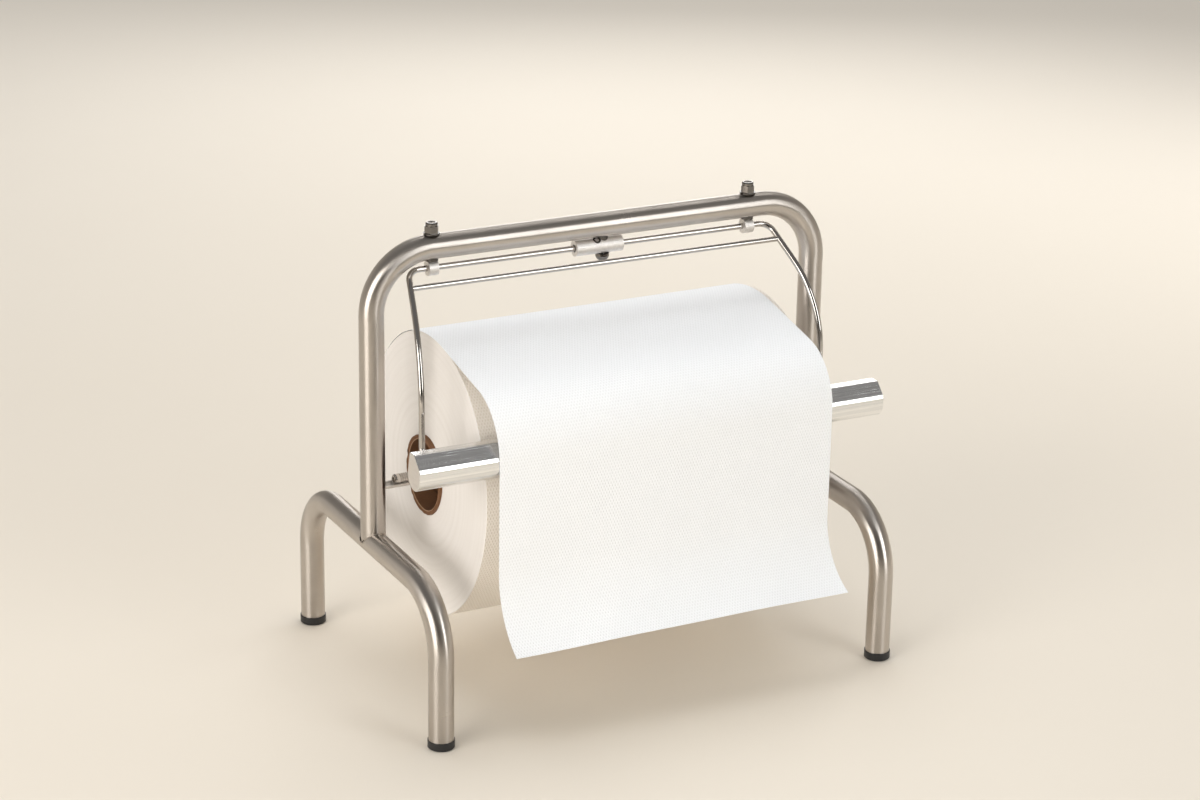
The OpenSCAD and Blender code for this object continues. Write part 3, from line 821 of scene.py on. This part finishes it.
@dataclass
class CopeWeld:
    """Thin weld round each upright's cope on its leg, with open spots on the outer side that are painted near-black
    as painted shade.
    """

    bead: float = 0.0006
    lumps: float = 0.00022
    gap: float = math.radians(21.0)
    steps: Tuple[int, int] = (180, 10)

    def build(self, metal: bpy.types.Material, weld_gap_shade: bpy.types.Material) -> None:
        """Model the two welds.

        Args:
            metal: Material of the weld.
            weld_gap_shade: Near-black material of its open spots, the painted shade of the gaps.
        """
        for side, outer in (("left", -1.0), ("right", 1.0)):
            low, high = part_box(f"{side}_leg")
            radius = (high[0] - low[0]) / 2.0
            centre = Vector(((low[0] + high[0]) / 2.0, (low[1] + high[1]) / 2.0, high[2] - radius))
            Bench.clear()
            bpy.ops.mesh.primitive_torus_add(major_radius=radius + self.bead * 0.15, minor_radius=self.bead,
                                             major_segments=self.steps[0], minor_segments=self.steps[1])
            piece = bpy.context.object
            piece.name = f"{side}_cope_weld"
            piece.data.name = piece.name
            piece.data.materials.append(metal)
            piece.data.materials.append(weld_gap_shade)
            # Painted shade: faces on the outer side, just off its middle, get the near-black material for shade in
            # the weld's gaps.
            for face in piece.data.polygons:
                aside = outer * face.center.x / math.hypot(face.center.x, face.center.y)
                away = math.acos(max(-1.0, min(1.0, aside)))
                face.material_index = 1 if 0.25 * self.gap < away < self.gap else 0
            for corner in piece.data.vertices:
                turn = math.atan2(corner.co.y, corner.co.x)
                grow = self.lumps * math.sin(41.0 * turn) * math.sin(9.0 * turn)
                if outer * math.cos(turn) > math.cos(self.gap):
                    grow += self.bead * 0.5
                rise = radius * abs(math.sin(turn))
                out = Vector((math.cos(turn), math.sin(turn), 0.0)) * grow
                corner.co = corner.co + out + centre + Vector((0.0, 0.0, rise))
            Bench.smooth(piece, 80.0)
            Bench.settle(piece, Body.STAND, "satin_steel")


@dataclass
class SleeveScrew:
    """Small socket screw in the upper front of the centre sleeve."""

    radius: float = 0.0040
    proud: float = 0.0009
    tilt: float = math.radians(28.0)
    shift: float = -0.0025
    sunk: float = 0.0006
    dome: float = 0.0002
    socket: float = 0.0007
    edge: float = 0.0001

    def build(self, metal: bpy.types.Material) -> None:
        """Model the screw.

        Args:
            metal: Material of the screw.
        """
        low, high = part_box("centre_sleeve")
        middle = (Vector(low) + Vector(high)) / 2.0
        reach = (high[2] - low[2]) / 2.0
        out = Vector((0.0, -math.sin(self.tilt), math.cos(self.tilt)))
        spot = middle + Vector((self.shift, 0.0, 0.0)) + out * (reach - self.sunk)
        Bench.clear()
        bpy.ops.mesh.primitive_cylinder_add(vertices=36, radius=self.radius, depth=2.0 * self.proud, location=spot,
                                            rotation=(self.tilt, 0.0, 0.0))
        piece = bpy.context.object
        piece.name = "sleeve_screw"
        piece.data.name = piece.name
        Bench.hold(piece)
        bpy.ops.object.transform_apply(location=True, rotation=True, scale=True)
        bpy.ops.object.mode_set(mode="EDIT")
        bpy.ops.mesh.select_mode(type="FACE")
        bpy.ops.mesh.select_all(action="DESELECT")
        bpy.ops.object.mode_set(mode="OBJECT")
        for face in piece.data.polygons:
            face.select = face.normal.dot(out) > 0.9
        bpy.ops.object.mode_set(mode="EDIT")
        bpy.ops.mesh.inset(thickness=self.radius * 0.35, depth=self.dome)
        bpy.ops.mesh.inset(thickness=self.radius * 0.12, depth=-self.socket)
        bpy.ops.object.mode_set(mode="OBJECT")
        Bench.soften(piece, self.edge)
        piece.data.materials.append(metal)
        Bench.smooth(piece)
        Bench.settle(piece, Body.STAND, "dark_steel")


@dataclass
class AxleTip:
    """Polished tip of the roll's axle: a rounded end with a socket, and fine ridges behind it."""

    ridge: float = 0.0023
    ridges: int = 5
    ridge_shape: Tuple[Flat, ...] = ((0.0003, 0.00005), (0.0007, 0.0005), (0.0014, 0.0005), (0.0019, 0.00005))
    tip_radius: float = 0.0056
    dome: Flat = (0.0026, 0.0022)
    dome_steps: int = 6
    socket: float = 0.0026
    socket_depth: float = 0.0022
    socket_edge: Flat = (0.0004, 0.0003)
    centre: float = 0.0003
    wall: float = 0.0032
    sunk: float = 0.0004
    steps: int = 48

    def profile(self, outer: float, inner: float, axle: float) -> List[Flat]:
        """Return the closed profile of one tip.

        Args:
            outer: Place along X of the tip's end.
            inner: Place along X of the cap's inner face.
            axle: Radius of the axle that the tip covers.

        Returns:
            Corners as place along X and radius.
        """
        way = 1.0 if inner > outer else -1.0
        bottom, wall = outer + way * self.socket_depth, outer + way * self.wall
        corners: List[Flat] = [(bottom, self.centre), (bottom, self.socket),
                               (outer + way * self.socket_edge[0], self.socket + self.socket_edge[1])]
        for index in range(self.dome_steps + 1):
            turn = math.radians(90.0 * index / self.dome_steps)
            corners.append((outer + way * self.dome[0] * (1.0 - math.cos(turn)),
                            self.tip_radius - self.dome[1] * (1.0 - math.sin(turn))))
        corners.append((inner, self.tip_radius))
        for index in range(self.ridges):
            start = inner + way * self.ridge * index
            corners += [(start + way * along, axle + rise) for along, rise in self.ridge_shape]
        end = inner + way * self.ridge * self.ridges
        return corners + [(end, axle - self.sunk), (wall, axle - self.sunk), (wall, self.centre)]

    def build(self, metal: bpy.types.Material) -> None:
        """Model the two tips.

        Args:
            metal: Material of the tips.
        """
        low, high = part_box("roll_axle")
        axis = axis_of(low, high)
        for side in ("left", "right"):
            cap_low, cap_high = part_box(f"{side}_axle_cap")
            ends = (cap_low[0], cap_high[0]) if side == "left" else (cap_high[0], cap_low[0])
            profile = self.profile(*ends, (high[2] - low[2]) / 2.0)
            piece = Bench.lathe(f"{side}_axle_tip", profile, axis, self.steps)
            piece.data.materials.append(metal)
            Bench.smooth(piece, 40.0)
            Bench.settle(piece, Body.STAND, "bright_steel", [f"{side}_axle_cap"])


@dataclass
class Hardware:
    """Solids that keep their shape and get a finish each."""

    finishes: Dict[str, bpy.types.Material]

    def dress(self, kept: Dict[str, Sequence[str]]) -> None:
        """Give every kept solid its material.

        Args:
            kept: Names of the solids of each finish.
        """
        for finish, names in kept.items():
            for name in names:
                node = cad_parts[name]
                if not node.material_slots:
                    node.data.materials.append(self.finishes[finish])
                for place in node.material_slots:
                    place.material = self.finishes[finish]
                LOG.info("%s: kept, %s", name, finish)


@dataclass(frozen=True)
class Lamp:
    """One soft lamp: its place, the point that it faces, its width and height, its power in watts and its tone.

    Polished metal shows a mirrored lamp. A lamp that lights reaches matte surfaces. The beam is the angle that the
    light fans out over, in degrees.
    """

    name: str
    place: Point
    aim: Point
    size: Flat
    power: float
    tone: Tone
    mirrored: bool = True
    lights: bool = True
    beam: float = 180.0

    def hang(self) -> None:
        """Add the lamp to the scene."""
        light = bpy.data.lights.new(self.name, "AREA")
        light.spread = math.radians(self.beam)
        light.shape = "RECTANGLE"
        light.size, light.size_y = self.size
        light.energy = self.power
        light.color = self.tone
        lamp = bpy.data.objects.new(self.name, light)
        bpy.context.scene.collection.objects.link(lamp)
        lamp.visible_camera = False
        lamp.visible_glossy = self.mirrored
        lamp.visible_diffuse = self.lights
        lamp.location = self.place
        lamp.rotation_euler = (Vector(self.aim) - Vector(self.place)).to_track_quat("-Z", "Y").to_euler()


LAMPS = (
    Lamp("left_box", (-2.35, -0.85, 1.0), (0.0, 0.0, 0.25), (1.5, 1.7), 19.2, (1.0, 0.97, 0.93), beam=130.0),
    Lamp("front_box", (0.95, -2.3, 1.25), (0.0, 0.0, 0.25), (1.1, 1.8), 9.2, (0.93, 0.97, 1.0), beam=130.0),
    Lamp("front_card", (0.97, -2.34, 1.27), (0.0, 0.0, 0.25), (1.1, 1.8), 7.0, (1.0, 0.97, 0.93), lights=False),
    Lamp("right_box", (2.2, 0.7, 1.2), (0.2, 0.0, 0.25), (1.2, 1.2), 11.0, (1.0, 0.98, 0.95), mirrored=False),
    Lamp("rim_card", (1.2, 1.2, 2.8), (0.0, 0.0, 0.45), (2.6, 0.3), 9.0, (1.0, 0.98, 0.95), lights=False),
    Lamp("back_box", (1.2, 2.3, 1.1), (0.0, 0.0, 0.3), (1.4, 0.7), 10.0, (1.0, 1.0, 1.0)),
    Lamp("low_box", (-1.9, -1.9, 0.55), (-0.1, 0.0, 0.2), (1.2, 0.9), 11.0, (1.0, 0.95, 0.88), mirrored=False,
         beam=130.0),
    Lamp("over_box", (0.2, 1.2, 4.6), (0.0, 0.6, 0.0), (4.5, 4.5), 132.0, (0.98, 0.99, 1.0), mirrored=False),
)


@dataclass
class Studio:
    """Pale floor painted lighter with distance as painted light, soft lamps, even surroundings and the camera."""

    floor_tone: Tone = (0.76, 0.70, 0.61)
    far_painted_light_tone: Tone = (0.98, 0.93, 0.85)
    floor_size: float = 30.0
    floor_drop: float = 0.0003
    painted_light_span: Flat = (1.0, 6.0)
    side_tone: Tone = (0.55, 0.50, 0.43)
    over_tone: Tone = (0.22, 0.214, 0.208)
    over_from: float = 0.75
    dim_span: Flat = (0.66, 0.88)
    dim_light: float = 0.06
    camera_place: Point = (-1.356375, -2.630726, 1.3424)
    camera_right: Point = (0.8912, -0.4532, 0.0165)
    camera_down: Point = (-0.1412, -0.3117, -0.9396)
    lens: float = 93.9

    def floor(self) -> None:
        """Lay the floor, its tone painted lighter with distance as painted light."""
        Bench.clear()
        bpy.ops.mesh.primitive_plane_add(size=self.floor_size, location=(0.0, 0.0, -self.floor_drop))
        ground = bpy.context.object
        ground.name = "floor"
        board = Board("floor_paper")
        reach = board.add("ShaderNodeVectorMath", {0: board.place()}, operation="LENGTH").outputs["Value"]
        clouds = board.math("MULTIPLY", board.noise(board.place(), 1.3, 3.0), 0.08)
        # Painted light: the tone lightens with distance from the stand, making up for the lamps' falloff.
        away = board.math("ADD", board.span(reach, *self.painted_light_span, 0.0, 0.92), clouds)
        ground.data.materials.append(board.surface(Base_Color=board.tones(away, self.floor_tone, self.far_painted_light_tone),
                                                   Roughness=0.9, Specular_IOR_Level=0.2))

    def surroundings(self) -> None:
        """Set the world: warm at the sides, dimmer overhead and behind the camera."""
        world = bpy.data.worlds.new("surroundings")
        bpy.context.scene.world = world
        world.use_nodes = True
        tree = world.node_tree
        tree.nodes.clear()
        output = tree.nodes.new("ShaderNodeOutputWorld")
        back = tree.nodes.new("ShaderNodeBackground")
        where = tree.nodes.new("ShaderNodeTexCoord")
        split = tree.nodes.new("ShaderNodeSeparateXYZ")
        ramp = tree.nodes.new("ShaderNodeValToRGB")
        tree.links.new(where.outputs["Generated"], split.inputs[0])
        tree.links.new(split.outputs[2], ramp.inputs[0])
        stops = ((0.0, self.side_tone), (self.over_from, self.over_tone))
        for stop, (place, tone) in zip(ramp.color_ramp.elements, stops):
            stop.position = place
            stop.color = (*tone, 1.0)
        tree.links.new(ramp.outputs[0], back.inputs[0])
        facing = tree.nodes.new("ShaderNodeVectorMath")
        facing.operation = "DOT_PRODUCT"
        facing.inputs[1].default_value = Vector((self.camera_place[0], self.camera_place[1], 0.0)).normalized()
        tree.links.new(where.outputs["Generated"], facing.inputs[0])
        dim = tree.nodes.new("ShaderNodeMapRange")
        dim.interpolation_type = "SMOOTHSTEP"
        limits = ("From Min", "From Max", "To Min", "To Max")
        for limit, value in zip(limits, (*self.dim_span, 1.0, self.dim_light)):
            dim.inputs[limit].default_value = value
        tree.links.new(facing.outputs["Value"], dim.inputs["Value"])
        tree.links.new(dim.outputs["Result"], back.inputs[1])
        tree.links.new(back.outputs[0], output.inputs[0])

    def camera(self) -> None:
        """Set the camera at the place that the photograph was taken from."""
        data = bpy.data.cameras.new("view")
        data.lens = self.lens
        data.sensor_width = 36.0
        data.sensor_fit = "HORIZONTAL"
        view = bpy.data.objects.new("view", data)
        bpy.context.scene.collection.objects.link(view)
        right = Vector(self.camera_right).normalized()
        up = -Vector(self.camera_down)
        up = (up - up.dot(right) * right).normalized()
        back = right.cross(up)
        turn = Matrix((right, up, back)).transposed().to_4x4()
        view.matrix_world = Matrix.Translation(self.camera_place) @ turn
        bpy.context.scene.camera = view

    def build(self) -> None:
        """Set up the whole studio."""
        self.floor()
        for lamp in LAMPS:
            lamp.hang()
        self.surroundings()
        self.camera()
        bpy.context.scene.view_settings.view_transform = "Standard"


def main() -> None:
    """Build the pieces in order, dress the solids and set up the studio."""
    logging.basicConfig(level=logging.INFO, format="%(message)s")
    roll = PaperRoll()
    dots = (0.0030, 0.0032)
    # Painted shade: the roll's outside is painted cream, the warm shade it sits in under the sheet; the web's rear
    # fades from it.
    wound_painted_shade_finish = PaperFinish("wound_paper_painted_shade", (0.91, 0.85, 0.775), (0.80, 0.725, 0.63), *dots, 0.0008)
    paper = PaperFinish("embossed_paper", (0.89, 0.905, 0.925), (0.81, 0.82, 0.835), *dots, 0.0004,
                        wound_painted_shade_finish).make()
    wound = wound_painted_shade_finish.make()
    ends = RollEndFinish("paper_ends", (0.75, 0.722, 0.695), (0.69, 0.658, 0.625), roll.axis).make()
    satin = ((0.60, 0.555, 0.51), (0.51, 0.47, 0.43), 0.27, 0.34)
    finishes: Dict[str, bpy.types.Material] = {finish.name: finish.make() for finish in (
        TubeFinish("frame_satin", *satin, Run.ALONG_X, 0.380, 0.436),
        TubeFinish("leg_satin", *satin, Run.ALONG_Y, 0.084, 0.140),
        MetalFinish("weld_steel", (0.58, 0.53, 0.47), (0.46, 0.41, 0.36), 0.28, 0.42, Grain.EVEN, 0.00012),
        MetalFinish("bright_steel", (0.50, 0.475, 0.45), (0.46, 0.435, 0.41), 0.09, 0.11, Grain.EVEN, 0.00001),
        MetalFinish("nut_steel", (0.24, 0.225, 0.21), (0.16, 0.15, 0.14), 0.05, 0.10, Grain.EVEN, 0.00001),
        MetalFinish("dark_steel", (0.15, 0.142, 0.135), (0.08, 0.075, 0.07), 0.14, 0.24, Grain.EVEN, 0.00003),
        MetalFinish("matte_sleeve", (0.90, 0.87, 0.84), (0.74, 0.71, 0.68), 0.44, 0.56, Grain.BLASTED, 0.00022),
        MetalFinish("bar_aluminium", (0.97, 0.97, 0.965), (0.79, 0.79, 0.785), 0.18, 0.25, Grain.ALONG_X, 0.00016,
                    spread=0.08),
        MetalFinish("tip_steel", (0.66, 0.62, 0.58), (0.52, 0.48, 0.44), 0.06, 0.13, Grain.EVEN, 0.00001),
        PlasticFinish("black_plastic", (0.012, 0.012, 0.013), (0.03, 0.03, 0.03), 0.42),
        PlasticFinish("hub_plastic", (0.03, 0.028, 0.026), (0.06, 0.055, 0.05), 0.5),
    )}
    sawn = MetalFinish("sawn_aluminium", (0.80, 0.765, 0.735), (0.71, 0.675, 0.645), 0.38, 0.50, Grain.SAWN,
                       0.00020).make()
    # Near-black painted shade for the welds' open spots.
    weld_gap_shade = PlasticFinish("weld_gap_painted_shade", (0.02, 0.016, 0.012), (0.05, 0.04, 0.03), 0.7).make()
    plies = CardFinish("brown_card", (0.19, 0.09, 0.042), (0.10, 0.046, 0.021), roll.axis, 0.12).make()
    # Pale tan painted highlight along the core's inner edge.
    inner_edge_highlight = CardFinish("card_inner_edge_highlight", (0.46, 0.30, 0.19), (0.34, 0.20, 0.12), roll.axis, 0.12).make()
    roll.build(wound, ends)
    CardCore().build(plies, inner_edge_highlight)
    TearBar().build(finishes["bar_aluminium"], sawn)
    LoosePaper(roll).build(paper)
    CopeWeld().build(finishes["weld_steel"], weld_gap_shade)
    SleeveScrew().build(finishes["dark_steel"])
    AxleTip().build(finishes["tip_steel"])
    Hardware(finishes).dress(KEPT)
    Studio().build()


if __name__ == "__main__":
    main()
